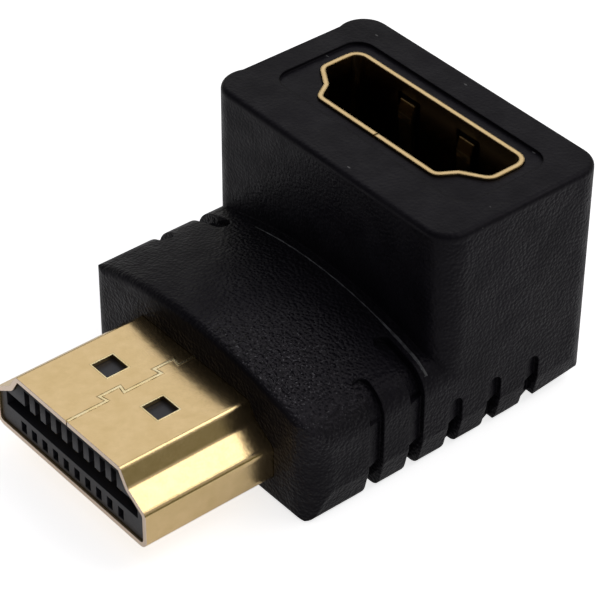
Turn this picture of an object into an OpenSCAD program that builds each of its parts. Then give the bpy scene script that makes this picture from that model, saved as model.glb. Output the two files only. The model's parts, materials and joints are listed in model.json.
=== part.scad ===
// Right angle adapter for digital video leads: a plug on one face, a socket on the face at right angles.
// The plug points along -X, the socket opens upwards, and the housing stands on its flat base at Z = 0.

/* [Housing] */
// Width of the housing
body_w = 20.2; // [19.4:0.1:24]
// Length of the low block, from its front face to the tower
block_l = 9.1; // [8:0.1:14]
// Height of the low block at the middle of its crowned top
block_h = 8.4; // [7.8:0.1:11]
// Radius of the crowned top, across the housing
crown_r = 27; // [22:1:60]
// Length of the tower
tower_d = 12; // [11:0.1:16]
// Height of the tower
tower_h = 15.2; // [14.4:0.1:20]
// Radius of the upright corners
corner_r = 1.7; // [1:0.1:2.4]
// Height of the foot, which leans in at the sides and the back
foot_h = 2; // [1.6:0.1:2.4]
// How far the foot leans in
foot_in = 0.45; // [0.2:0.05:0.6]
// Radius of the foot's lower edge
foot_r = 0.7; // [0.4:0.05:0.8]
// Radius of the base's front edge
toe_r = 0.4; // [0.2:0.05:0.6]
// Length over which the base rises towards its back
heel_l = 8.5; // [6:0.5:9]
// Rise of the base at its back
heel_rise = 1.1; // [0.6:0.1:1.2]
// Radius of the long edges of the low block's top
shoulder_r = 2; // [1.2:0.1:2.2]
// Radius of the edge round the tower's top
rim_r = 0.35; // [0.2:0.05:0.6]
// Radius of the low block's front edge, under its crown
nose_r = 0.5; // [0.3:0.05:0.8]
// Depth of the shallow panel round the socket's mouth
panel_depth = 0.2; // [0.1:0.05:0.4]
// Margin of that panel round the socket's shell
panel_margin = 0.8; // [0.6:0.05:1.2]
// Corner radius of that panel
panel_r = 1.2; // [0.8:0.1:2]

/* [Grip grooves] */
// Number of grooves on each side
groove_count = 5; // [3:1:5]
// Distance between grooves
groove_pitch = 2.92; // [2.8:0.02:3]
// Distance from the front face to the first groove's middle
groove_start = 4.68; // [4:0.02:5]
// Width of a groove
groove_w = 1.05; // [0.8:0.05:1.2]
// Depth of a groove in the side
groove_depth = 0.35; // [0.2:0.05:0.5]
// Height of the grooves under the tower
groove_h = 3.8; // [3:0.1:5]
// Height of the first groove, below the block's shoulder
groove_front_h = 6.1; // [5:0.1:6.4]
// Depth of the first groove's pit, in the foot
pit_depth = 1.1; // [0.8:0.05:1.1]
// How much shallower each next pit is
pit_fade = 0.16; // [0:0.01:0.2]
// Radius of the ribs' rear corners, at the foot
rib_r = 0.7; // [0.4:0.05:0.8]
// Depth of the groove that runs over the block, in front of the tower
crown_groove_depth = 0.6; // [0.4:0.05:0.7]
// Distance of that groove's inner ends from the housing's side
crown_groove_reach = 3.5; // [2.5:0.1:4]
// Distance of the first groove's inner ends from the housing's side
shoulder_groove_reach = 1.9; // [1.4:0.1:2.4]

/* [Plug] */
// Width of the plug's shell
plug_w = 13.9; // [13.5:0.05:14.3]
// Height of the plug's shell
plug_h = 4.45; // [4.4:0.05:4.7]
// Length of the plug in front of the housing
plug_l = 8.7; // [8:0.1:12]
// Height of the plug's underside above the base
plug_z = 1.45; // [1.3:0.05:2]
// Width of the plug's narrow side
narrow_w = 9.6; // [9:0.1:10.2]
// Height of the shell's upright side walls
wall_h = 2.45; // [2:0.05:2.7]
// Width of the shell at the bend of its shoulders
bend_w = 10.9; // [10.4:0.1:11.6]
// Height of that bend
bend_h = 3.4; // [3.1:0.05:3.7]
// Sheet thickness of both shells
sheet_t = 0.3; // [0.2:0.05:0.35]
// How far the insulator's face lies inside the shell's rim
face_recess = 0.15; // [0.05:0.05:0.5]
// Depth of the plug in the housing
plug_root = 2.6; // [2:0.1:4]

/* [Latch windows and seam] */
// Side of a latch window
window_side = 1.5; // [1:0.1:2]
// Distance of each window from the plug's middle
window_y = 2.3; // [2:0.1:2.8]
// Distance of the windows from the plug's tip
window_x = 4.6; // [3.5:0.1:5.5]
// Width of the seam's gap
seam_gap = 0.1; // [0.06:0.02:0.16]
// Distance from the plug's tip to the first dovetail
tab_start = 3.3; // [2.5:0.1:4]
// Distance between the dovetails
tab_pitch = 3.7; // [3:0.1:4]
// Length of a dovetail at its end
tab_l = 1.4; // [1:0.1:1.8]
// How far a dovetail reaches across
tab_reach = 0.55; // [0.4:0.05:0.8]
// How much narrower a dovetail is at its root, on each side
tab_undercut = 0.12; // [0.05:0.01:0.2]

/* [Contacts] */
// Distance between contacts in a row
pitch = 1; // [0.9:0.01:1.05]
// Width of a contact
contact_w = 0.4; // [0.3:0.02:0.44]
// Thickness of a contact
contact_t = 0.2; // [0.12:0.02:0.24]
// Height of the tongue's middle above the shell's wide side
tongue_mid = 2.13; // [2:0.01:2.2]
// Thickness of the socket's tongue
tongue_t = 0.9; // [0.8:0.02:1]
// Width of the socket's tongue
tongue_w = 11.9; // [11.4:0.1:12.1]
// Depth of the plug's tongue slot
slot_l = 6.4; // [5.5:0.1:7]
// Length of the plug contacts' tails on the board
tail_l = 2; // [1.4:0.1:3]
// Rise of a plug contact's tip into the slot
contact_rise = 0.12; // [0.05:0.01:0.15]

/* [Socket] */
// Distance of the tongue's tip below the socket's rim
tongue_recess = 3.2; // [1:0.1:4]
// Height of the socket insulator's base
socket_base_h = 2.6; // [2:0.1:3.4]
// Offset of the socket from the tower's middle, away from the plug
socket_shift = 0.35; // [0:0.05:0.5]
// Width of a spring finger
finger_w = 1.2; // [0.8:0.1:1.5]
// Length of a spring finger
finger_l = 4.6; // [3.5:0.1:5]
// Distance of each spring finger from the socket's middle
finger_y = 2.5; // [2:0.1:3.2]
// Distance from the socket's rim to the slot round a finger
finger_drop = 0.8; // [0.6:0.1:1.4]
// Width of the slot round a finger
finger_slot = 0.35; // [0.2:0.05:0.5]
// How far a spring finger bows into the mouth
finger_bow = 0.3; // [0.1:0.05:0.4]
// Width of a soldered leg
leg_w = 0.9; // [0.5:0.05:1.2]
// Distance of the wide side's legs from the socket's middle
leg_y = 5.4; // [4.5:0.1:5.8]
// Length of a leg and of a contact's pin under the board
pin_l = 0.6; // [0.3:0.05:0.7]

/* [Board and inner mould] */
// Thickness of the circuit board
board_t = 0.8; // [0.6:0.05:1]
// Margin of the board round the socket's shell
board_margin = 0.7; // [0.5:0.05:0.8]
// Width of the board's edge that the inner mould holds
board_grip = 0.4; // [0.3:0.05:0.45]
// Thickness of the outer moulding round the inner one
skin_t = 1.6; // [1.4:0.05:1.7]
// Height of the inner mould in the tower, above the board
inner_rise = 6; // [5:0.1:7]
// Height of the inner mould above the plug's shell
inner_cover = 0.45; // [0.3:0.05:0.6]
// Bevel of the inner mould's upper edges in the low block
inner_bevel = 1.8; // [1.4:0.1:2]

/* [Clearances] */
// Play of the plug in a socket, on each side
mouth_play = 0.05; // [0.03:0.01:0.1]
// Gap between pieces that are moulded or pressed together
fit = 0.03; // [0.01:0.01:0.05]
// Gap between a contact and its channel
channel_play = 0.05; // [0.03:0.01:0.07]
// Solder between a contact's tail and the board
solder_t = 0.02; // [0.01:0.01:0.05]
// Air round the soldered ends
chamber_air = 0.2; // [0.1:0.05:0.3]

/* [Hidden] */
CONTACTS = 19;

$fn = 64;
eps = 0.01;
corner_steps = 5;

body_l = block_l + tower_d;
front_x = -(body_l - plug_l) / 2;
tip_x = front_x - plug_l;
tower_x = front_x + block_l;
back_x = front_x + body_l;

// Outline of both connectors, seen from the mouth: Y is across, from the wide side at 0 to the narrow side.
// Each corner is [x, y, radius], and the outline runs anticlockwise.
SHELL_OUTLINE = let (
    right = [
        [plug_w / 2, 0, 0.6],
        [plug_w / 2, wall_h, 0.55],
        [bend_w / 2, bend_h, 0.5],
        [narrow_w / 2, plug_h, 0.35]
    ]
) concat(right, [for (i = [3:-1:0]) [-right[i].x, right[i].y, right[i].z]]);

// Heights in the plug, above the shell's wide side
slot_h = tongue_t + 2 * mouth_play;
slot_low = tongue_mid - slot_h / 2;
slot_high = tongue_mid + slot_h / 2;
channel_w = contact_w + 2 * channel_play;
row_low = sheet_t + 0.25;
row_high = plug_h - sheet_t - 0.4;
lip_l = 0.6;
lip_drop = 0.35;

// Places along the plug
face_x = tip_x + face_recess;
slot_end_x = face_x + slot_l;
root_x = front_x + plug_root;

// Board: its faces, its front edge, and the width that fits between the plug's ears
board_mid_z = plug_z + tongue_mid;
board_top_z = board_mid_z + board_t / 2;
board_low_z = board_mid_z - board_t / 2;
board_x = root_x + fit;
ear_l = 1.6;
ear_h = 0.8;
board_front_w = plug_w - 2 * sheet_t - 2 * fit;
tail_rise = (board_t + contact_t) / 2 + solder_t;

// Socket: its middle, the height of its rim, and the X at which its outline has Y = 0
socket_x = tower_x + tower_d / 2 + socket_shift;
wide_x = socket_x + plug_h / 2;
socket_top = tower_h - panel_depth / 4;
shell_out = mouth_play + sheet_t;
socket_len = socket_top - board_top_z - fit;
tongue_x = wide_x - tongue_mid;
tongue_top = socket_top - tongue_recess;
board_end_x = wide_x + shell_out + board_margin;
board_w = plug_w + 2 * (shell_out + board_margin);
board_step_x = tower_x + skin_t + fit;

// Inner mould
inner_low = board_low_z - pin_l - chamber_air - skin_t / 3;
inner_top = plug_z + plug_h + inner_cover;
inner_tower_top = board_top_z + inner_rise;

// Plan geometry

function spot(c) = [c.x, c.y];
function unit(v) = v / norm(v);
function across(v) = [-v.y, v.x];
function turned(v, a) = [v.x * cos(a) - v.y * sin(a), v.x * sin(a) + v.y * cos(a)];
function around(list, i) = list[(i + len(list)) % len(list)];
function way_in(c, i) = unit(spot(c[i]) - spot(around(c, i - 1)));
function way_out(c, i) = unit(spot(around(c, i + 1)) - spot(c[i]));
function turn_sign(a, b) = sign(a.x * b.y - a.y * b.x);

// An outline with every side moved inwards by t, or outwards where t is negative
function inset(c, t) = [
    for (i = [0:len(c) - 1])
        let (
            a = way_in(c, i),
            b = way_out(c, i),
            p = spot(c[i]) + t * (across(a) + across(b)) / (1 + a * b)
        )
        [p.x, p.y, max(c[i].z - turn_sign(a, b) * t, eps)]
];

// Points of an outline, with an arc at each corner
function rounded(c) = [
    for (i = [0:len(c) - 1])
        let (
            a = way_in(c, i),
            b = way_out(c, i),
            side = turn_sign(a, b),
            angle = acos(a * b),
            start = spot(c[i]) - a * c[i].z * tan(angle / 2),
            middle = start + across(a) * c[i].z * side
        )
        for (k = [0:corner_steps])
            middle + turned(start - middle, side * angle * k / corner_steps)
];

// Side steps of a bent strip's centre line
function strip_normal(path, i) =
    i == 0 ? across(unit(path[1] - path[0]))
    : i == len(path) - 1 ? across(unit(path[i] - path[i - 1]))
    : let (a = across(unit(path[i] - path[i - 1])), b = across(unit(path[i + 1] - path[i])))
        (a + b) / (1 + a * b);

// Outline of a strip of thickness t that follows a path
function strip(path, t) = concat(
    [for (i = [0:len(path) - 1]) path[i] + strip_normal(path, i) * t / 2],
    [for (i = [len(path) - 1:-1:0]) path[i] - strip_normal(path, i) * t / 2]
);

module rounded_plan(l, w, r) {
    translate([r, -w / 2]) square([l - 2 * r, w]);
    translate([0, r - w / 2]) square([l, w - 2 * r]);
    for (x = [r, l - r], y = [r - w / 2, w / 2 - r])
        translate([x, y]) circle(r);
}

// Extrudes a section in X from x0, with its own X across the housing and its own Y upwards
module along_x(x0, l) {
    translate([x0, 0, 0]) rotate([90, 0, 90]) linear_extrude(l) children();
}

// Extrudes a side view, drawn in X and Z, across the housing
module across_y(y, w) {
    translate([0, y + w / 2, 0]) rotate([90, 0, 0]) linear_extrude(w) children();
}

// Extrudes the socket's outline upwards, with the wide side away from the plug
module socket_prism(z0, l) {
    translate([wide_x, 0, z0]) rotate(90) linear_extrude(l) children();
}

module shell_outline(t = 0) {
    polygon(rounded(inset(SHELL_OUTLINE, t)));
}

module plug_prism(x0, l, t = 0) {
    along_x(x0, l) translate([0, plug_z]) shell_outline(t);
}

// Housing

// Upright section of width w with a foot on both sides
module foot_section(w, h) {
    half = w / 2;
    lean = atan(foot_in / foot_h);
    run = foot_r * tan(45 - lean / 2);
    edge = half - foot_in - run;
    side = [[edge, 0], [edge + run + run * sin(lean), run * cos(lean)], [half, foot_h], [half, h]];
    polygon(concat(side, [for (i = [len(side) - 1:-1:0]) [-side[i].x, side[i].y]]));
    for (y = [-1, 1])
        translate([y * edge, foot_r]) circle(foot_r);
}

// Side view of the base: its front edge is round, it rises towards its back, and its back has the foot
module base_side_view(h) {
    w = body_l + 4;
    intersection() {
        translate([back_x - w / 2, 0]) foot_section(w, h);
        union() {
            translate([front_x, toe_r]) square([body_l / 2, h]);
            translate([front_x + toe_r, toe_r]) circle(toe_r);
            polygon([
                [front_x + toe_r, 0],
                [back_x - heel_l, 0],
                [back_x + 1, heel_rise * (1 + 1 / heel_l)],
                [back_x + 1, h + 1],
                [front_x + toe_r, h + 1]
            ]);
        }
    }
}

// Tower with a rounded edge round its top, down into the low block
module tower() {
    z0 = foot_h + 1;
    z1 = tower_h - rim_r;
    flat_l = tower_d - 2 * corner_r;
    flat_w = body_w - 2 * corner_r;
    translate([tower_x, 0, 0]) {
        translate([0, 0, z0]) linear_extrude(z1 - z0) rounded_plan(tower_d, body_w, corner_r);
        translate([rim_r, 0, z0]) linear_extrude(tower_h - z0)
            rounded_plan(tower_d - 2 * rim_r, body_w - 2 * rim_r, corner_r - rim_r);
        for (y = [rim_r - body_w / 2, body_w / 2 - rim_r])
            translate([corner_r, y, z1]) rotate([0, 90, 0]) cylinder(r = rim_r, h = flat_l);
        for (x = [rim_r, tower_d - rim_r])
            translate([x, flat_w / 2, z1]) rotate([90, 0, 0]) cylinder(r = rim_r, h = flat_w);
        for (x = [corner_r, tower_d - corner_r], y = [-flat_w / 2, flat_w / 2])
            translate([x, y, z1]) rotate_extrude()
                translate([corner_r - rim_r, 0]) circle(rim_r);
    }
}

// Section under the low block's crown, with every face moved inwards by t
module crown_section(t = 0) {
    shoulder = shoulder_r - t;
    crown = crown_r - t;
    crown_z = block_h - crown_r;
    shoulder_y = body_w / 2 - shoulder_r;
    shoulder_z = crown_z + sqrt(pow(crown - shoulder, 2) - pow(shoulder_y, 2));
    reach = 1.1 * crown / norm([shoulder_y, shoulder_z - crown_z]);
    for (y = [-1, 1])
        translate([y * shoulder_y, shoulder_z]) circle(shoulder);
    translate([-shoulder_y - shoulder, -1]) square([2 * (shoulder_y + shoulder), shoulder_z + 1]);
    intersection() {
        translate([0, crown_z]) circle(crown);
        polygon([
            [-shoulder_y, shoulder_z],
            [shoulder_y, shoulder_z],
            [reach * shoulder_y, crown_z + reach * (shoulder_z - crown_z)],
            [-reach * shoulder_y, crown_z + reach * (shoulder_z - crown_z)]
        ]);
    }
}

// Rounds the front edge of the crown, about the crown's own axis
module nose() {
    translate([front_x, 0, block_h - crown_r]) rotate([0, 90, 0]) rotate_extrude() {
        square([crown_r - nose_r, body_l + 1]);
        translate([0, nose_r]) square([crown_r + 1, body_l + 1 - nose_r]);
        translate([crown_r - nose_r, nose_r]) circle(nose_r);
    }
}

// The low block runs on under the tower, so that both share their side walls and their foot
module low_block() {
    intersection() {
        along_x(front_x, body_l) intersection() {
            foot_section(body_w, block_h + 1);
            crown_section();
        }
        across_y(0, body_w) base_side_view(block_h + 1);
        translate([front_x, 0, -1]) linear_extrude(block_h + 3) rounded_plan(body_l, body_w, corner_r);
        nose();
    }
}

// One pair of grip grooves. Those in front of the tower run over the block's shoulders, the last one furthest.
module groove(i) {
    x = front_x + groove_start + i * groove_pitch - groove_w / 2;
    over = x + groove_w < tower_x;
    last = x + groove_w + groove_pitch > tower_x;
    top = over ? groove_front_h : groove_h;
    pit = pit_depth - i * pit_fade;
    intersection() {
        across_y(0, body_w + 2) groove_side_view(x, over ? block_h + 1 : groove_h);
        union() {
            side_groove(x, top, pit);
            mirror([0, 1, 0]) side_groove(x, top, pit);
            if (over && last) crown_groove(x, crown_groove_reach, crown_groove_depth);
            if (over && !last) crown_groove(x, shoulder_groove_reach, groove_depth);
        }
    }
}

// Side view of a groove from x on: its top is round, and it flares behind the rib in front of it
module groove_side_view(x, top) {
    translate([x, -1]) square([groove_w, top - groove_w / 2 + 1]);
    translate([x + groove_w / 2, top - groove_w / 2]) circle(groove_w / 2);
    difference() {
        translate([x - rib_r, -1]) square([rib_r + eps, rib_r + 1]);
        translate([x - rib_r, rib_r]) circle(rib_r);
    }
}

// Groove in the +Y side: its floor slopes in towards the tower, with a pit in the foot
module side_groove(x, top, pit) {
    step = groove_depth / 5;
    slope = atan((groove_depth - step) / groove_w);
    pit_top = foot_h + 0.2;
    translate([x, body_w / 2 - step, 0]) rotate(-slope) along_x(-rib_r - 1, groove_w + rib_r + 2)
        polygon([
            [1, -1],
            [1, top],
            [0, top],
            [0, pit_top],
            [-pit, pit_top - pit + groove_depth],
            [-pit, -1]
        ]);
}

// Groove over both shoulders, of even depth, to round ends at this distance from the housing's sides
module crown_groove(x, reach, depth) {
    half = groove_w / 2;
    end_y = body_w / 2 - reach + half;
    low = groove_front_h - 1;
    intersection() {
        along_x(x - 1, groove_w + 2) difference() {
            translate([-body_w, low]) square([2 * body_w, block_h]);
            crown_section(depth);
        }
        translate([x, 0, 0]) linear_extrude(2 * block_h)
            for (y = [-1, 1]) {
                translate([half, y * end_y]) circle(half);
                translate([0, y * (end_y + reach / 2) - reach / 2]) square([groove_w, reach]);
            }
    }
}

// Shallow panel in the tower's top, round the socket's mouth
module mouth_panel() {
    l = plug_h + 2 * (shell_out + panel_margin);
    w = plug_w + 2 * (shell_out + panel_margin);
    translate([socket_x - l / 2, 0, tower_h - panel_depth]) linear_extrude(panel_depth + 1)
        rounded_plan(l, w, panel_r);
}

// Outer form of the inner mould, with every face moved outwards by t
module inner_form(t = 0) {
    half = body_w / 2 - skin_t;
    section = [
        [half, inner_low, 0],
        [half, inner_top - inner_bevel, 0],
        [half - inner_bevel, inner_top, 0],
        [inner_bevel - half, inner_top, 0],
        [-half, inner_top - inner_bevel, 0],
        [-half, inner_low, 0]
    ];
    along_x(front_x + skin_t - t, body_l - 2 * skin_t + 2 * t)
        polygon([for (c = inset(section, -t)) spot(c)]);
    translate([tower_x + skin_t - t, -half - t, inner_low - t])
        cube([tower_d - 2 * skin_t + 2 * t, 2 * half + 2 * t, inner_tower_top - inner_low + 2 * t]);
}

module overmould() {
    color([0.13, 0.12, 0.14]) difference() {
        union() {
            low_block();
            tower();
        }
        for (i = [0:groove_count - 1]) groove(i);
        mouth_panel();
        inner_form(fit);
        board_pocket();
        pin_chamber();
        plug_prism(front_x - 1, 1 + plug_root + fit, -fit);
        socket_prism(board_mid_z, tower_h) shell_outline(-shell_out - fit);
    }
}

// Room for the board
module board_pocket() {
    translate([0, 0, board_low_z - fit]) linear_extrude(board_t + 2 * fit) board_plan(fit);
}

// Room under the board for the socket's pins and legs
module pin_chamber() {
    x = wide_x - plug_h - shell_out;
    w = board_w - 2 * board_grip;
    translate([x, -w / 2, board_low_z - pin_l - chamber_air])
        cube([board_end_x - board_grip - x, w, pin_l + chamber_air + board_t / 2]);
}

// Hard moulding that holds the board by its edges and the backs of both shells
module inner_mould() {
    tails_w = (CONTACTS / 2 + 0.5) * pitch + 2 * chamber_air;
    tails_h = 2 * (tail_rise + contact_t / 2 + chamber_air);
    color([0.86, 0.84, 0.78]) difference() {
        inner_form();
        plug_prism(front_x, plug_root + fit, -fit);
        socket_prism(board_mid_z, tower_h) shell_outline(-shell_out - fit);
        board_pocket();
        pin_chamber();
        plug_ears(fit);
        translate([root_x, -tails_w / 2, board_mid_z - tails_h / 2])
            cube([fit + tail_l + chamber_air, tails_w, tails_h]);
    }
}

// Plug

// Cut line of the folded sheet's joint, drawn along the plug from its tip
function seam_path(l) = concat(
    [[-1, 0]],
    [
        for (i = [0:1])
            let (x = tab_start + i * tab_pitch, half = tab_l / 2)
            each [
                [x - half + tab_undercut, 0],
                [x - half, tab_reach],
                [x + half, tab_reach],
                [x + half - tab_undercut, 0]
            ]
    ],
    [[l + 1, 0]]
);

module plug_shell() {
    l = root_x - tip_x;
    color([0.84, 0.76, 0.6]) {
        difference() {
            plug_prism(tip_x, l);
            plug_prism(tip_x - 1, l + 2, sheet_t);
            translate([tip_x, 0, plug_z + plug_h - sheet_t - 0.2]) linear_extrude(sheet_t + 1)
                polygon(strip(seam_path(l), seam_gap));
            for (y = [-1, 1])
                translate([tip_x + window_x, y * window_y, plug_z + plug_h / 2])
                    cube([window_side, window_side, plug_h + 2], center = true);
        }
        plug_ears();
    }
}

// Ears of the plug's shell that grip the board's front edge, with every face moved outwards by t
module plug_ears(t = 0) {
    for (y = [-1, 1])
        translate([root_x, y * (plug_w - sheet_t) / 2, plug_z + wall_h - ear_h])
            cube([2 * (ear_l + t), sheet_t + 2 * t, ear_h + 2 * t], center = true);
}

// Centre line of a plug contact, in X and in height above the shell's wide side.
// side is 1 for the row on the narrow side and -1 for the row on the wide side.
function plug_contact_path(side) =
    let (
        tail = tongue_mid + side * tail_rise,
        edge = side > 0 ? slot_high : slot_low,
        floor = side > 0 ? row_high : row_low,
        beam = floor - side * (contact_t / 2 + channel_play),
        peak = edge - side * (contact_rise - contact_t / 2),
        tip = face_x + lip_l + channel_play
    )
    [
        [board_x + tail_l, tail],
        [slot_end_x + 0.4, tail],
        [slot_end_x - 0.5, beam],
        [tip + 2.6, beam],
        [tip + 1.1, peak],
        [tip + 0.7, peak],
        [tip, peak + side * 0.35]
    ];

function contact_side(i) = i % 2 == 0 ? 1 : -1;
function contact_y(i) = ((CONTACTS + 1) / 2 - i) * pitch / 2;

module plug_contact(i) {
    color([0.85, 0.72, 0.42]) translate([0, 0, plug_z])
        across_y(contact_y(i), contact_w) polygon(strip(plug_contact_path(contact_side(i)), contact_t));
}

// Channel of one plug contact through the insulator
module plug_channel(i) {
    side = contact_side(i);
    tail = tongue_mid + side * tail_rise;
    floor = side > 0 ? row_high : row_low;
    reach = abs(floor - tongue_mid);
    hole = contact_t + 2 * channel_play;
    translate([0, contact_y(i), plug_z]) {
        // Room for the spring behind the front lip
        translate([face_x + lip_l, -channel_w / 2, side > 0 ? tongue_mid : floor])
            cube([slot_l - lip_l, channel_w, reach]);
        // Opening in the front face
        translate([face_x - 1, -channel_w / 2, side > 0 ? tongue_mid : floor])
            cube([lip_l + 1 + eps, channel_w, side > 0 ? reach : reach - slot_h / 2 - lip_drop]);
        // Ramp and hole for the tail
        translate([slot_end_x - eps, -channel_w / 2, side > 0 ? tail - hole / 2 : floor])
            cube([0.6, channel_w, abs(floor - tail) + hole / 2]);
        translate([slot_end_x, -channel_w / 2, tail - hole / 2])
            cube([root_x + 1 - slot_end_x, channel_w, hole]);
    }
}

module plug_insulator() {
    slot_w = tongue_w + 4 * mouth_play;
    color([0.42, 0.42, 0.45]) difference() {
        plug_prism(face_x, root_x - face_x, sheet_t + fit);
        translate([face_x - 1, -slot_w / 2, plug_z + slot_low]) cube([slot_l + 1, slot_w, slot_h]);
        for (i = [1:CONTACTS]) plug_channel(i);
    }
}

// Socket

// Side view of one spring finger, from its root to its free end, in distance from the rim and in bow
function finger_path() = [
    [finger_drop + finger_slot + finger_l + 0.4, 0],
    [finger_drop + finger_slot + finger_l, 0],
    [finger_drop + finger_slot + 1.2, finger_bow],
    [finger_drop + finger_slot + 0.8, finger_bow],
    [finger_drop + finger_slot, finger_bow / 3]
];

module socket_shell() {
    mouth_x = wide_x + mouth_play;
    slot_w = finger_w + 2 * finger_slot;
    slot_h = finger_l + finger_slot;
    color([0.84, 0.76, 0.6]) {
        difference() {
            socket_prism(board_top_z + fit, socket_len) shell_outline(-shell_out);
            socket_prism(board_top_z, tower_h) shell_outline(-mouth_play);
            translate([wide_x - plug_h - shell_out - 0.5, -seam_gap / 2, board_top_z])
                cube([sheet_t + 1, seam_gap, tower_h]);
            for (y = [-1, 1])
                translate([mouth_x - 0.5, y * finger_y - slot_w / 2, socket_top - finger_drop - slot_h])
                    cube([sheet_t + 1, slot_w, slot_h]);
        }
        for (y = [-1, 1])
            across_y(y * finger_y, finger_w) translate([mouth_x + sheet_t / 2, socket_top]) rotate(-90)
                polygon([for (p = strip(finger_path(), sheet_t)) [p.x, -p.y]]);
        socket_legs();
    }
}

// Legs of the socket's shell, down through the board, with every side moved outwards by t
module socket_legs(t = 0) {
    long = leg_w + 2 * t;
    short = sheet_t + 2 * t;
    wall = mouth_play + sheet_t / 2;
    translate([0, 0, board_low_z - pin_l]) linear_extrude(pin_l + board_t + 1)
        for (y = [-1, 1]) {
            translate([wide_x - wall_h / 2, y * (plug_w / 2 + wall)]) square([long, short], center = true);
            translate([wide_x + wall, y * leg_y]) square([short, long], center = true);
        }
}

module socket_contact_pin(i, extra = 0) {
    side = contact_side(i);
    x = tongue_x - side * (tongue_t / 2 - contact_t / 4);
    low = board_low_z - pin_l;
    h = tongue_top - 0.5 - low;
    translate([x, contact_y(i), low + h / 2])
        cube([contact_t + 2 * extra, contact_w + 2 * extra, h + 2 * extra], center = true);
}

module socket_contact(i) {
    color([0.85, 0.72, 0.42]) socket_contact_pin(i);
}

module socket_insulator() {
    base_z = board_top_z + fit;
    color([0.1, 0.1, 0.11]) difference() {
        union() {
            socket_prism(base_z, socket_base_h) shell_outline(-mouth_play + fit);
            translate([tongue_x - tongue_t / 2, -tongue_w / 2, base_z])
                cube([tongue_t, tongue_w, tongue_top - base_z]);
        }
        for (i = [1:CONTACTS]) socket_contact_pin(i, fit);
    }
}

// Board

// Outline of the board, narrow between the plug's ears, with every side moved outwards by t
module board_plan(t = 0) {
    for (part = [[board_x, board_front_w], [board_step_x, board_w]])
        translate([part.x - t, -part.y / 2 - t])
            square([board_end_x - part.x + 2 * t, part.y + 2 * t]);
}

module circuit_board() {
    color([0.1, 0.35, 0.2]) difference() {
        translate([0, 0, board_low_z]) linear_extrude(board_t) board_plan();
        for (i = [1:CONTACTS]) socket_contact_pin(i, channel_play);
        socket_legs(channel_play);
    }
}

overmould();
inner_mould();
plug_shell();
plug_insulator();
socket_shell();
socket_insulator();
circuit_board();
for (i = [1:CONTACTS]) {
    plug_contact(i);
    socket_contact(i);
}
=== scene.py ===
"""Looks, light and camera of the right angle video adapter, in metres and in the CAD's own frame."""
import json
import math

import bpy
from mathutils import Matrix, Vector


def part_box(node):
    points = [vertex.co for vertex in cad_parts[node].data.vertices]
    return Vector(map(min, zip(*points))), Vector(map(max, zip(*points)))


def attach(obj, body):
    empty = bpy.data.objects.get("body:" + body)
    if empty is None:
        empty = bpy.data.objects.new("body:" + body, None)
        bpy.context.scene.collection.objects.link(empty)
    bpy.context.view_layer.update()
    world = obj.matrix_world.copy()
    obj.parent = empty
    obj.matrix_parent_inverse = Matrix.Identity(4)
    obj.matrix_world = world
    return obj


MM = 0.001

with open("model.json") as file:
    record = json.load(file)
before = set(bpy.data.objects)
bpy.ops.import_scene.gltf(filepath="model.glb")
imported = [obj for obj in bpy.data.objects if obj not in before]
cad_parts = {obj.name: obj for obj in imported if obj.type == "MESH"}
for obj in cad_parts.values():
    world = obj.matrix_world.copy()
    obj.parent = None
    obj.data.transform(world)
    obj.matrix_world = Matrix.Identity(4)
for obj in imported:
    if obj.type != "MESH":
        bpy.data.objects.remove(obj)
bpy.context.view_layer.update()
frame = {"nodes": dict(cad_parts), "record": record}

# Places where a finish changes: the plug's tip and top, the housing's front face, the low block's top,
# and the socket's rim and middle
TIP_X = float(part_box("plug_shell")[0][0])
PLUG_TOP = float(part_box("plug_shell")[1][2])
FRONT_X = float(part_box("overmould")[0][0])
BLOCK_TOP = 8.4 * MM
RIM_Z = float(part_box("socket_shell")[1][2])
SOCKET_X = float(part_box("socket_shell")[0][0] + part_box("socket_shell")[1][0]) / 2
# The socket's spring fingers: how far their middles are from its own, and their width
FINGER_Y = 2.5 * MM
FINGER_W = 1.2 * MM
# Middles of the housing's worn corner, which also gets painted glints, and of the shade over the plug
WORN_AND_GLINT_CORNER = (FRONT_X + 1.2 * MM, -5.4 * MM, 7.4 * MM)
OVER_PLUG = (FRONT_X, -1.5 * MM, 6.6 * MM)

# Size of the housing's pebbles, and the radii to which edges look rounded
PEBBLE = 0.2 * MM
HOUSING_EDGE = 0.12 * MM
SHEET_EDGE = 0.07 * MM
RIM_EDGE = 0.14 * MM
SMALL_EDGE = 0.05 * MM

# Colours, as pairs where a finish wanders between two
WHITE = (1.0, 1.0, 1.0)
BLACK_PLASTIC = (0.0056, 0.0052, 0.0074), (0.0082, 0.0074, 0.0106)
DUST = (0.07, 0.07, 0.07)
LINT = (0.14, 0.14, 0.14)
# A painted highlight: the colour of the glints on the housing's worn corner
PAINTED_GLINT = (0.17, 0.17, 0.18)
GOLD = (0.78, 0.57, 0.275), (0.85, 0.63, 0.325)
CUT_GOLD = (0.86, 0.70, 0.56)
# Painted shade deep in the socket, and the painted highlight on its spring fingers there
PAINTED_SOCKET_SHADE = (0.20, 0.13, 0.055)
FINGER_HIGHLIGHT_GOLD = (0.95, 0.70, 0.34)
# Painted shade on the socket shell's rounded edges
PAINTED_EDGE_SHADE = (0.30, 0.20, 0.08)
PLUG_GREY = (0.03, 0.03, 0.036)
# Painted shade on the plug's tip under its shell
PAINTED_PLUG_SHADE = (0.01, 0.01, 0.013)


# Materials

def add(tree, kind, inputs=None, **settings):
    """A node with its settings, whose inputs are values or the sockets they come from."""
    node = tree.nodes.new("ShaderNode" + kind)
    for key, value in settings.items():
        setattr(node, key, value)
    for key, value in (inputs or {}).items():
        if isinstance(value, bpy.types.NodeSocket):
            tree.links.new(value, node.inputs[key])
        else:
            node.inputs[key].default_value = value
    return node


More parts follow.
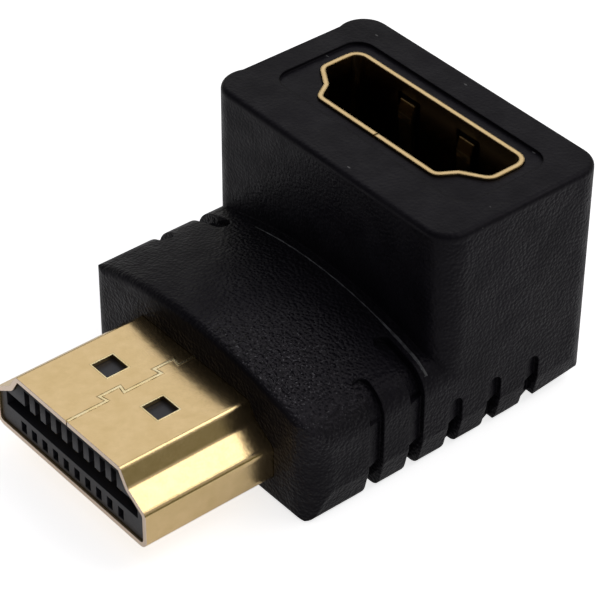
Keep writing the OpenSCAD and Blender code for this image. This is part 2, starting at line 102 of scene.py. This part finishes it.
def new_material(name):
    """An empty material, its node tree and its object coordinates, in metres."""
    material = bpy.data.materials.new(name)
    material.use_nodes = True
    tree = material.node_tree
    tree.nodes.clear()
    return material, tree, add(tree, "TexCoord").outputs["Object"]


def scaled(tree, coord, scale):
    """Coordinates multiplied along X, Y and Z."""
    return add(tree, "Mapping", {"Vector": coord, "Scale": scale}).outputs["Vector"]


def noise(tree, coord, size, detail=2.0, stretch=None):
    """Noise with features of about this size, in metres, drawn out along X, Y and Z by stretch."""
    if stretch:
        coord = scaled(tree, coord, [1 / s for s in stretch])
    inputs = {"Vector": coord, "Scale": 1 / size, "Detail": detail, "Roughness": 0.55}
    return add(tree, "TexNoise", inputs).outputs["Fac"]


def spread(tree, value, low, high, to_low=0.0, to_high=1.0):
    """Value stretched from low..high to to_low..to_high, and held there."""
    inputs = {"Value": value, "From Min": low, "From Max": high, "To Min": to_low, "To Max": to_high}
    return add(tree, "MapRange", inputs).outputs["Result"]


def between(tree, factor, at_zero, at_one):
    """A number that goes from one value to the other as the factor goes from 0 to 1."""
    return spread(tree, factor, 0.0, 1.0, at_zero, at_one)


def mix(tree, factor, a, b):
    """Colour a where factor is 0, b where it is 1."""
    a, b = (c if isinstance(c, bpy.types.NodeSocket) else (*c, 1.0) for c in (a, b))
    return add(tree, "Mix", {0: factor, 6: a, 7: b}, data_type="RGBA").outputs[2]


def maths(tree, operation, a, b=0.0):
    return add(tree, "Math", {0: a, 1: b}, operation=operation).outputs[0]


def rounded(tree, edge):
    """The normal of a surface whose edges look rounded to this radius."""
    return add(tree, "Bevel", {"Radius": edge}, samples=4).outputs["Normal"]


def bump(tree, height, distance, strength, edge):
    """A bumped normal, over edges that look rounded to the radius edge."""
    inputs = {"Height": height, "Distance": distance, "Strength": strength, "Normal": rounded(tree, edge)}
    return add(tree, "Bump", inputs).outputs["Normal"]


def finish(tree, inputs):
    """Ends a material in a shader with these inputs."""
    shader = add(tree, "BsdfPrincipled", inputs)
    add(tree, "OutputMaterial", {"Surface": shader.outputs["BSDF"]})


def specks(tree, coord, cell, size, share):
    """1 on sparse specks of this size, in metres: one in each cell, for this share of the cells."""
    node = add(tree, "TexVoronoi", {"Vector": coord, "Scale": 1 / cell}, feature="F1")
    inside = maths(tree, "LESS_THAN", node.outputs["Distance"], size / (2 * cell))
    draw = add(tree, "SeparateXYZ", {"Vector": node.outputs["Color"]}).outputs["X"]
    return maths(tree, "MULTIPLY", inside, maths(tree, "LESS_THAN", draw, share))


def near(tree, coord, point, inner, outer):
    """1 within the inner distance of a point, falling to 0 at the outer one."""
    away = add(tree, "VectorMath", {0: coord, 1: point}, operation="DISTANCE").outputs["Value"]
    return spread(tree, away, inner, outer, 1.0, 0.0)


def overmould_material():
    """Soft black plastic: a fine pebbled skin, smoother on the tower's front and round the socket's
    mouth, worn shiny at the block's front corner with painted glints there, and a little dust and lint."""
    material, tree, coord = new_material("overmould")
    z = add(tree, "SeparateXYZ", {"Vector": coord}).outputs["Z"]
    facing = add(tree, "NewGeometry").outputs["True Normal"]
    facing_x = add(tree, "SeparateXYZ", {"Vector": facing}).outputs["X"]
    front = spread(tree, facing_x, -0.9, -0.6, 1.0, 0.0)
    over_block = spread(tree, z, BLOCK_TOP - 1.6 * MM, BLOCK_TOP - 1.5 * MM)
    tower_front = maths(tree, "MULTIPLY", front, over_block)
    worn_and_glints = near(tree, coord, WORN_AND_GLINT_CORNER, 1.8 * MM, 6.0 * MM)
    worn_and_glints = maths(tree, "MULTIPLY", worn_and_glints, between(tree, front, 1.0, 0.0))
    shade = maths(tree, "MULTIPLY", near(tree, coord, OVER_PLUG, 4.5 * MM, 7.5 * MM), front)

    pebble_inputs = {"Vector": coord, "Scale": 1 / PEBBLE, "Smoothness": 0.6, "Randomness": 1.0}
    pebbles = add(tree, "TexVoronoi", pebble_inputs, feature="SMOOTH_F1").outputs["Distance"]
    grain = noise(tree, coord, 0.1 * MM, 3.0)
    height = maths(tree, "SUBTRACT", maths(tree, "MULTIPLY", grain, 0.4), pebbles)
    mouth = spread(tree, z, RIM_Z - 0.5 * MM, RIM_Z - 0.3 * MM, 1.0, 0.4)
    for depth in (mouth, between(tree, tower_front, 1.0, 0.4), between(tree, worn_and_glints, 0.8, 2.0)):
        height = maths(tree, "MULTIPLY", height, depth)

    plastic = mix(tree, spread(tree, noise(tree, coord, 5 * MM), 0.35, 0.65), *BLACK_PLASTIC)
    dust = specks(tree, coord, 0.8 * MM, 0.08 * MM, 0.035)
    lint = specks(tree, scaled(tree, coord, (1.0, 0.4, 1.0)), 0.5 * MM, 0.1 * MM, 0.1)
    lint = maths(tree, "MULTIPLY", lint, maths(tree, "GREATER_THAN", z, RIM_Z - 0.5 * MM))
    dusty = mix(tree, lint, mix(tree, dust, plastic, DUST), LINT)
    # Painted glints: specks of lighter colour on the worn corner, standing in for highlights off its
    # pebbles
    painted_glints = spread(tree, noise(tree, coord, 0.12 * MM, 1.0), 0.66, 0.72)
    painted_glints = maths(tree, "MULTIPLY", painted_glints, worn_and_glints)

    rough = spread(tree, noise(tree, coord, 1.6 * MM, 3.0), 0.35, 0.65, 0.36, 0.5)
    shine = between(tree, worn_and_glints, 0.115, 0.3)
    finish(tree, {
        "Base Color": mix(tree, painted_glints, dusty, PAINTED_GLINT),
        "Roughness": maths(tree, "SUBTRACT", rough, maths(tree, "MULTIPLY", worn_and_glints, 0.2)),
        "Specular IOR Level": maths(tree, "SUBTRACT", shine, maths(tree, "MULTIPLY", shade, 0.08)),
        "Specular Tint": (1.0, 0.93, 1.0, 1.0),
        "Normal": bump(tree, height, 0.08 * MM, 0.9, HOUSING_EDGE),
    })
    return material


def gold_material(name, edge, depth_z=None):
    """Pale gold plating over folded sheet, pinkish where the plug's tip is cut. Below depth_z it takes
    painted shade, which the spring fingers swap for a painted highlight, and its edges get painted shade."""
    material, tree, coord = new_material(name)
    lines = noise(tree, coord, 0.05 * MM, stretch=(14, 1, 14))
    mottle = noise(tree, coord, 0.8 * MM, 3.0)
    waves = noise(tree, coord, 0.45 * MM)
    speck = noise(tree, coord, 0.12 * MM)
    grain = maths(tree, "ADD", lines, maths(tree, "MULTIPLY", speck, 3.0))
    relief = maths(tree, "ADD", grain, maths(tree, "MULTIPLY", waves, 9.0))
    axes = add(tree, "SeparateXYZ", {"Vector": coord}).outputs
    tip = maths(tree, "LESS_THAN", axes["X"], TIP_X + 0.02 * MM)
    colour = mix(tree, tip, mix(tree, spread(tree, mottle, 0.3, 0.7), *GOLD), CUT_GOLD)
    if depth_z:
        # Painted shade: darker deeper in the socket, with a painted highlight on the spring fingers instead
        socket_shade = spread(tree, axes["Z"], depth_z - 1.2 * MM, depth_z, 1.0, 0.0)
        beside = maths(tree, "SUBTRACT", maths(tree, "ABSOLUTE", axes["Y"]), FINGER_Y)
        in_line = maths(tree, "LESS_THAN", maths(tree, "ABSOLUTE", beside), FINGER_W / 2)
        finger = maths(tree, "MULTIPLY", in_line, maths(tree, "GREATER_THAN", axes["X"], SOCKET_X))
        colour = mix(tree, socket_shade, colour, mix(tree, finger, PAINTED_SOCKET_SHADE, FINGER_HIGHLIGHT_GOLD))
        # Painted shade on rounded edges, where the rounded normal leaves the true one
        facing = add(tree, "NewGeometry").outputs["True Normal"]
        both = {0: facing, 1: rounded(tree, edge)}
        flat = add(tree, "VectorMath", both, operation="DOT_PRODUCT").outputs["Value"]
        colour = mix(tree, spread(tree, flat, 0.95, 0.9985, 1.0, 0.0), colour, PAINTED_EDGE_SHADE)
    finish(tree, {
        "Base Color": colour,
        "Metallic": 1.0,
        "Roughness": spread(tree, speck, 0.3, 0.7, 0.17, 0.25),
        "Normal": bump(tree, relief, 0.0006 * MM, 0.8, edge),
    })
    return material


def plain_material(name, low, high, roughness, grain_size=0.1 * MM, depth=0.004 * MM, metallic=0.0):
    """A moulded or plated finish between two colours, with a fine grain."""
    material, tree, coord = new_material(name)
    grain = noise(tree, coord, grain_size, 3.0)
    mottle = noise(tree, coord, 8 * grain_size)
    finish(tree, {
        "Base Color": mix(tree, spread(tree, mottle, 0.35, 0.65), low, high),
        "Metallic": metallic,
        "Roughness": spread(tree, grain, 0.3, 0.7, roughness - 0.06, roughness + 0.06),
        "Normal": bump(tree, grain, depth, 0.8, SMALL_EDGE),
    })
    return material


def insulator_material():
    """Dark grey moulding of the plug, with painted shade at its tip under the shell."""
    material, tree, coord = new_material("plug_insulator")
    grain = noise(tree, coord, 0.1 * MM, 3.0)
    axes = add(tree, "SeparateXYZ", {"Vector": coord}).outputs
    # Painted shade: the top of the plug's tip, under its shell, is darker and less shiny
    above = spread(tree, axes["Z"], PLUG_TOP - 1.6 * MM, PLUG_TOP - 0.7 * MM)
    upper = maths(tree, "MULTIPLY", above, maths(tree, "LESS_THAN", axes["X"], TIP_X + 1.5 * MM))
    finish(tree, {
        "Base Color": mix(tree, upper, PLUG_GREY, PAINTED_PLUG_SHADE),
        "Roughness": spread(tree, grain, 0.3, 0.7, 0.36, 0.48),
        "Specular IOR Level": between(tree, upper, 0.5, 0.08),
        "Normal": bump(tree, grain, 0.004 * MM, 0.8, SMALL_EDGE),
    })
    return material


finishes = {
    "overmould": overmould_material(),
    "gold_shell": gold_material("gold_shell", SHEET_EDGE),
    "inner_mould": plain_material("inner_mould", (0.62, 0.60, 0.54), (0.70, 0.68, 0.62), 0.45),
    "plug_insulator": insulator_material(),
    "socket_insulator": plain_material(
        "socket_insulator", (0.012, 0.012, 0.013), (0.018, 0.018, 0.02), 0.45),
    "contacts": plain_material("contacts", (0.80, 0.58, 0.27), (0.88, 0.67, 0.34), 0.26, metallic=1.0),
    "board": plain_material("board", (0.02, 0.12, 0.055), (0.03, 0.16, 0.075), 0.35),
}
for part in frame["record"]["subparts"]:
    piece = frame["nodes"][part["node"]]
    piece.data.materials.clear()
    piece.data.materials.append(finishes[part["material_slot"]])
socket_gold = gold_material("socket_gold", RIM_EDGE, RIM_Z - 0.1 * MM)
frame["nodes"]["socket_shell"].data.materials[0] = socket_gold


# Fine trim: a painted highlight along the seam of the plug's shell, edged with painted shade, painted
# highlights on the rolled rims of its latch windows, and the thin line of flash in front of the tower,
# where its mould met the low block's, made lighter than the housing as a painted highlight

# The seam, in mm from the plug's tip and from its middle
SEAM = [(0.05, 0.0), (2.72, 0.0), (2.6, 0.55), (4.0, 0.55), (3.88, 0.0),
        (6.42, 0.0), (6.3, 0.55), (7.7, 0.55), (7.58, 0.0), (9.2, 0.0)]
SEAM_SECTION = [(-0.085, 0.0), (-0.07, 0.012), (0.07, 0.012), (0.085, 0.0), (0.0, -0.2)]
# Section of the painted shade along both sides of the seam
SEAM_SHADE_SECTION = [(-0.12, -0.02), (-0.12, 0.005), (0.12, 0.005), (0.12, -0.02)]
# The windows, measured as the seam is: their middles and half their width
WINDOW_MIDDLES = [(4.6, -2.3), (4.6, 2.3)]
WINDOW_HALF = 0.77
WINDOW_SECTION = [(-0.055, -0.02), (-0.045, 0.008), (0.045, 0.008), (0.055, -0.02)]
# The flash, in mm: its distance from the front face, its ends in Y, and where it starts and stops growing
FLASH_X = 8.5
FLASH_Y = (5.2, -9.7)
GROWTH_Y = (-5.5, -7.0)
# Half its width and its rise: on the far side, what the near side adds, and their ripple
HALF, HALF_GROWTH, HALF_RIPPLE = 0.04, 0.1, 0.015
RISE, RISE_GROWTH, RISE_RIPPLE = 0.05, 0.06, 0.01
# Its section in those halves and rises, its number of steps, and the steps over which its ends sink away
FLASH_SECTION = [(-1, -0.6), (-0.2, 1), (0.2, 1), (1, -0.6)]
FLASH_STEPS = 48
FAR_END, NEAR_END = 6, 2
# The block's skin that it lies on, in mm: radii of the crown and the shoulders, and the shoulders' middles
CROWN_R = 27.0
SHOULDER_R = 2.0
SHOULDER_Y = 8.1


def side_step(path, i):
    """Sideways step of unit width at a point of a path, mitred between its two parts."""
    def normal(a, b):
        dx, dy = b[0] - a[0], b[1] - a[1]
        length = math.hypot(dx, dy)
        return -dy / length, dx / length
    before = normal(path[max(i - 1, 0)], path[max(i, 1)])
    after = normal(path[min(i, len(path) - 2)], path[min(i + 1, len(path) - 1)])
    scale = 1 + before[0] * after[0] + before[1] * after[1]
    return (before[0] + after[0]) / scale, (before[1] + after[1]) / scale


def loft(name, rings, material):
    """Makes a closed skin through rings of points, which are in metres."""
    count = len(rings[0])
    corners = [corner for ring in rings for corner in ring]
    faces = [tuple(range(count)), tuple(reversed(range(len(corners) - count, len(corners))))]
    for i in range(len(rings) - 1):
        for k in range(count):
            a, b = i * count + k, i * count + (k + 1) % count
            faces.append((a, a + count, b + count, b))
    mesh = bpy.data.meshes.new(name)
    mesh.from_pydata(corners, [], faces)
    mesh.materials.append(material)
    piece = bpy.data.objects.new(name, mesh)
    bpy.context.scene.collection.objects.link(piece)
    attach(piece, "root")


def thread(name, path, section, material):
    """Makes a thread along a flat path on the plug's top, with its section across and up, in mm."""
    rings = []
    for i, (x, y) in enumerate(path):
        step = side_step(path, i)
        rings.append([
            (TIP_X + MM * (x + step[0] * across), MM * (y + step[1] * across), PLUG_TOP + MM * up)
            for across, up in section
        ])
    loft(name, rings, material)


def square_path(middle, half):
    """Round a square and back to where it starts, in the middle of a side."""
    turns = [(1, 0), (1, 1), (-1, 1), (-1, -1), (1, -1), (1, 0)]
    return [(middle[0] + half * x, middle[1] + half * y) for x, y in turns]


def skin_height(y):
    """Height of the block's skin over the middle of its top, in mm, at this Y."""
    inner_r = CROWN_R - SHOULDER_R
    side = abs(y)
    if side < SHOULDER_Y * CROWN_R / inner_r:
        return math.sqrt(CROWN_R ** 2 - y ** 2) - CROWN_R
    rise = math.sqrt(SHOULDER_R ** 2 - (side - SHOULDER_Y) ** 2)
    return math.sqrt(inner_r ** 2 - SHOULDER_Y ** 2) + rise - CROWN_R


def flash(material):
    """Makes a low ridge across the block's crown, which grows towards the near side."""
    rings = []
    for i in range(FLASH_STEPS + 1):
        y = FLASH_Y[0] + (FLASH_Y[1] - FLASH_Y[0]) * i / FLASH_STEPS
        z = skin_height(y)
        grown = min(1.0, max(0.0, (GROWTH_Y[0] - y) / (GROWTH_Y[0] - GROWTH_Y[1])))
        half = HALF + HALF_GROWTH * grown + HALF_RIPPLE * math.sin(7.0 * y)
        rise = RISE + RISE_GROWTH * grown + RISE_RIPPLE * math.sin(5.0 * y)
        ends = min(1.0, i / FAR_END, (FLASH_STEPS - i) / NEAR_END + 0.1)
        rings.append([
            (FRONT_X + MM * (FLASH_X + across * half), MM * y, BLOCK_TOP + MM * (z + up * rise * ends))
            for across, up in FLASH_SECTION
        ])
    loft("mould_flash_highlight", rings, material)


# Painted highlight: a gold brighter than the shell's, for the seam and the window rims
painted_highlight_gold = plain_material("painted_highlight_gold", (0.96, 0.76, 0.38), (1.0, 0.86, 0.52), 0.24, metallic=1.0)
# Painted shade along the seam: dark brown mottled with gold
seam_shade = plain_material(
    "seam_shade", (0.16, 0.11, 0.04), (0.80, 0.59, 0.29), 0.3, grain_size=0.05 * MM, metallic=1.0)
# Painted highlight: the flash is a lighter plastic than the housing, for the bright line along its crest
flash_highlight_plastic = plain_material(
    "flash_highlight_plastic", (0.03, 0.03, 0.033), (0.11, 0.112, 0.118), 0.34, grain_size=0.06 * MM, depth=0.02 * MM)
thread("seam_highlight", SEAM, SEAM_SECTION, painted_highlight_gold)
thread("seam_shade_edges", SEAM, SEAM_SHADE_SECTION, seam_shade)
for number, middle in enumerate(WINDOW_MIDDLES, 1):
    thread("window_rim_highlight_" + str(number), square_path(middle, WINDOW_HALF), WINDOW_SECTION, painted_highlight_gold)
flash(flash_highlight_plastic)


# Stage

FLOOR_HALF = 2.0
# The room's colours, low down, high up and on the side towards -X
LOW_WALL = (0.10, 0.10, 0.03)
HIGH_WALL = (0.46, 0.455, 0.48)
SIDE_WALL = (0.13, 0.13, 0.14)


def floor_material():
    """Pale to every ray, and white to the camera."""
    material, tree, _ = new_material("floor")
    rays = add(tree, "LightPath").outputs
    glow = add(tree, "Emission", {"Strength": maths(tree, "MULTIPLY", rays["Is Glossy Ray"], 0.27)})
    matt = add(tree, "BsdfDiffuse", {"Color": (0.85, 0.85, 0.85, 1.0)})
    pale = add(tree, "AddShader", {0: matt.outputs[0], 1: glow.outputs[0]})
    white = add(tree, "BsdfDiffuse", {"Color": (0.9, 0.9, 0.9, 1.0)})
    lift = add(tree, "Emission", {"Color": (1.0, 1.0, 1.0, 1.0), "Strength": 0.75})
    bright = add(tree, "AddShader", {0: white.outputs[0], 1: lift.outputs[0]})
    both = {"Fac": rays["Is Camera Ray"], 1: pale.outputs[0], 2: bright.outputs[0]}
    choice = add(tree, "MixShader", both)
    add(tree, "OutputMaterial", {"Surface": choice.outputs[0]})
    return material


def lay_floor():
    """Makes a wide flat square that isn't part of the object."""
    turns = [(-1, -1), (1, -1), (1, 1), (-1, 1)]
    mesh = bpy.data.meshes.new("floor")
    mesh.from_pydata([(FLOOR_HALF * x, FLOOR_HALF * y, 0) for x, y in turns], [], [(0, 1, 2, 3)])
    mesh.materials.append(floor_material())
    piece = bpy.data.objects.new("floor", mesh)
    bpy.context.scene.collection.objects.link(piece)


def light_room():
    """Gives the scene its surroundings: soft walls to the object, and white to the camera."""
    world = bpy.data.worlds.new("room")
    world.use_nodes = True
    bpy.context.scene.world = world
    tree = world.node_tree
    tree.nodes.clear()
    camera_ray = add(tree, "LightPath").outputs["Is Camera Ray"]
    way = add(tree, "SeparateXYZ", {"Vector": add(tree, "TexCoord").outputs["Generated"]}).outputs
    walls = mix(tree, spread(tree, way["Z"], 0.15, 0.5), LOW_WALL, HIGH_WALL)
    walls = mix(tree, spread(tree, way["X"], -0.5, 0.0, 1.0, 0.0), walls, SIDE_WALL)
    inputs = {"Color": mix(tree, camera_ray, walls, WHITE), "Strength": 1.0}
    backdrop = add(tree, "Background", inputs)
    add(tree, "OutputWorld", {"Surface": backdrop.outputs[0]})


def area_light(name, azimuth, elevation, distance, size, watts, colour=WHITE):
    """Makes a square soft light that faces the object, from this direction in degrees. Azimuth 0 is the
    side at -Y."""
    light = bpy.data.lights.new(name, "AREA")
    light.shape = "SQUARE"
    light.size = size
    light.energy = watts
    light.color = colour
    piece = bpy.data.objects.new(name, light)
    turn, tilt = math.radians(azimuth), math.radians(elevation)
    way = (math.sin(turn) * math.cos(tilt), -math.cos(turn) * math.cos(tilt), math.sin(tilt))
    piece.location = [distance * w for w in way]
    piece.rotation_euler = (math.radians(90 - elevation), 0.0, turn)
    bpy.context.scene.collection.objects.link(piece)


lay_floor()
light_room()
area_light("key", 59, 54, 0.6, 0.3, 0.5, (1.0, 0.985, 0.96))
area_light("back", 140, 40, 0.5, 0.45, 0.22)

# Camera, placed as the photograph's was
lens = bpy.data.cameras.new("camera")
lens.sensor_width = 36.0
lens.lens = 157.45
lens.clip_start = 0.01
camera = bpy.data.objects.new("camera", lens)
camera.location = (-73.77 * MM, -89.96 * MM, 97.95 * MM)
camera.rotation_euler = [math.radians(a) for a in (51.922, -0.296, -39.647)]
bpy.context.scene.collection.objects.link(camera)
bpy.context.scene.camera = camera
bpy.context.scene.view_settings.view_transform = "Standard"
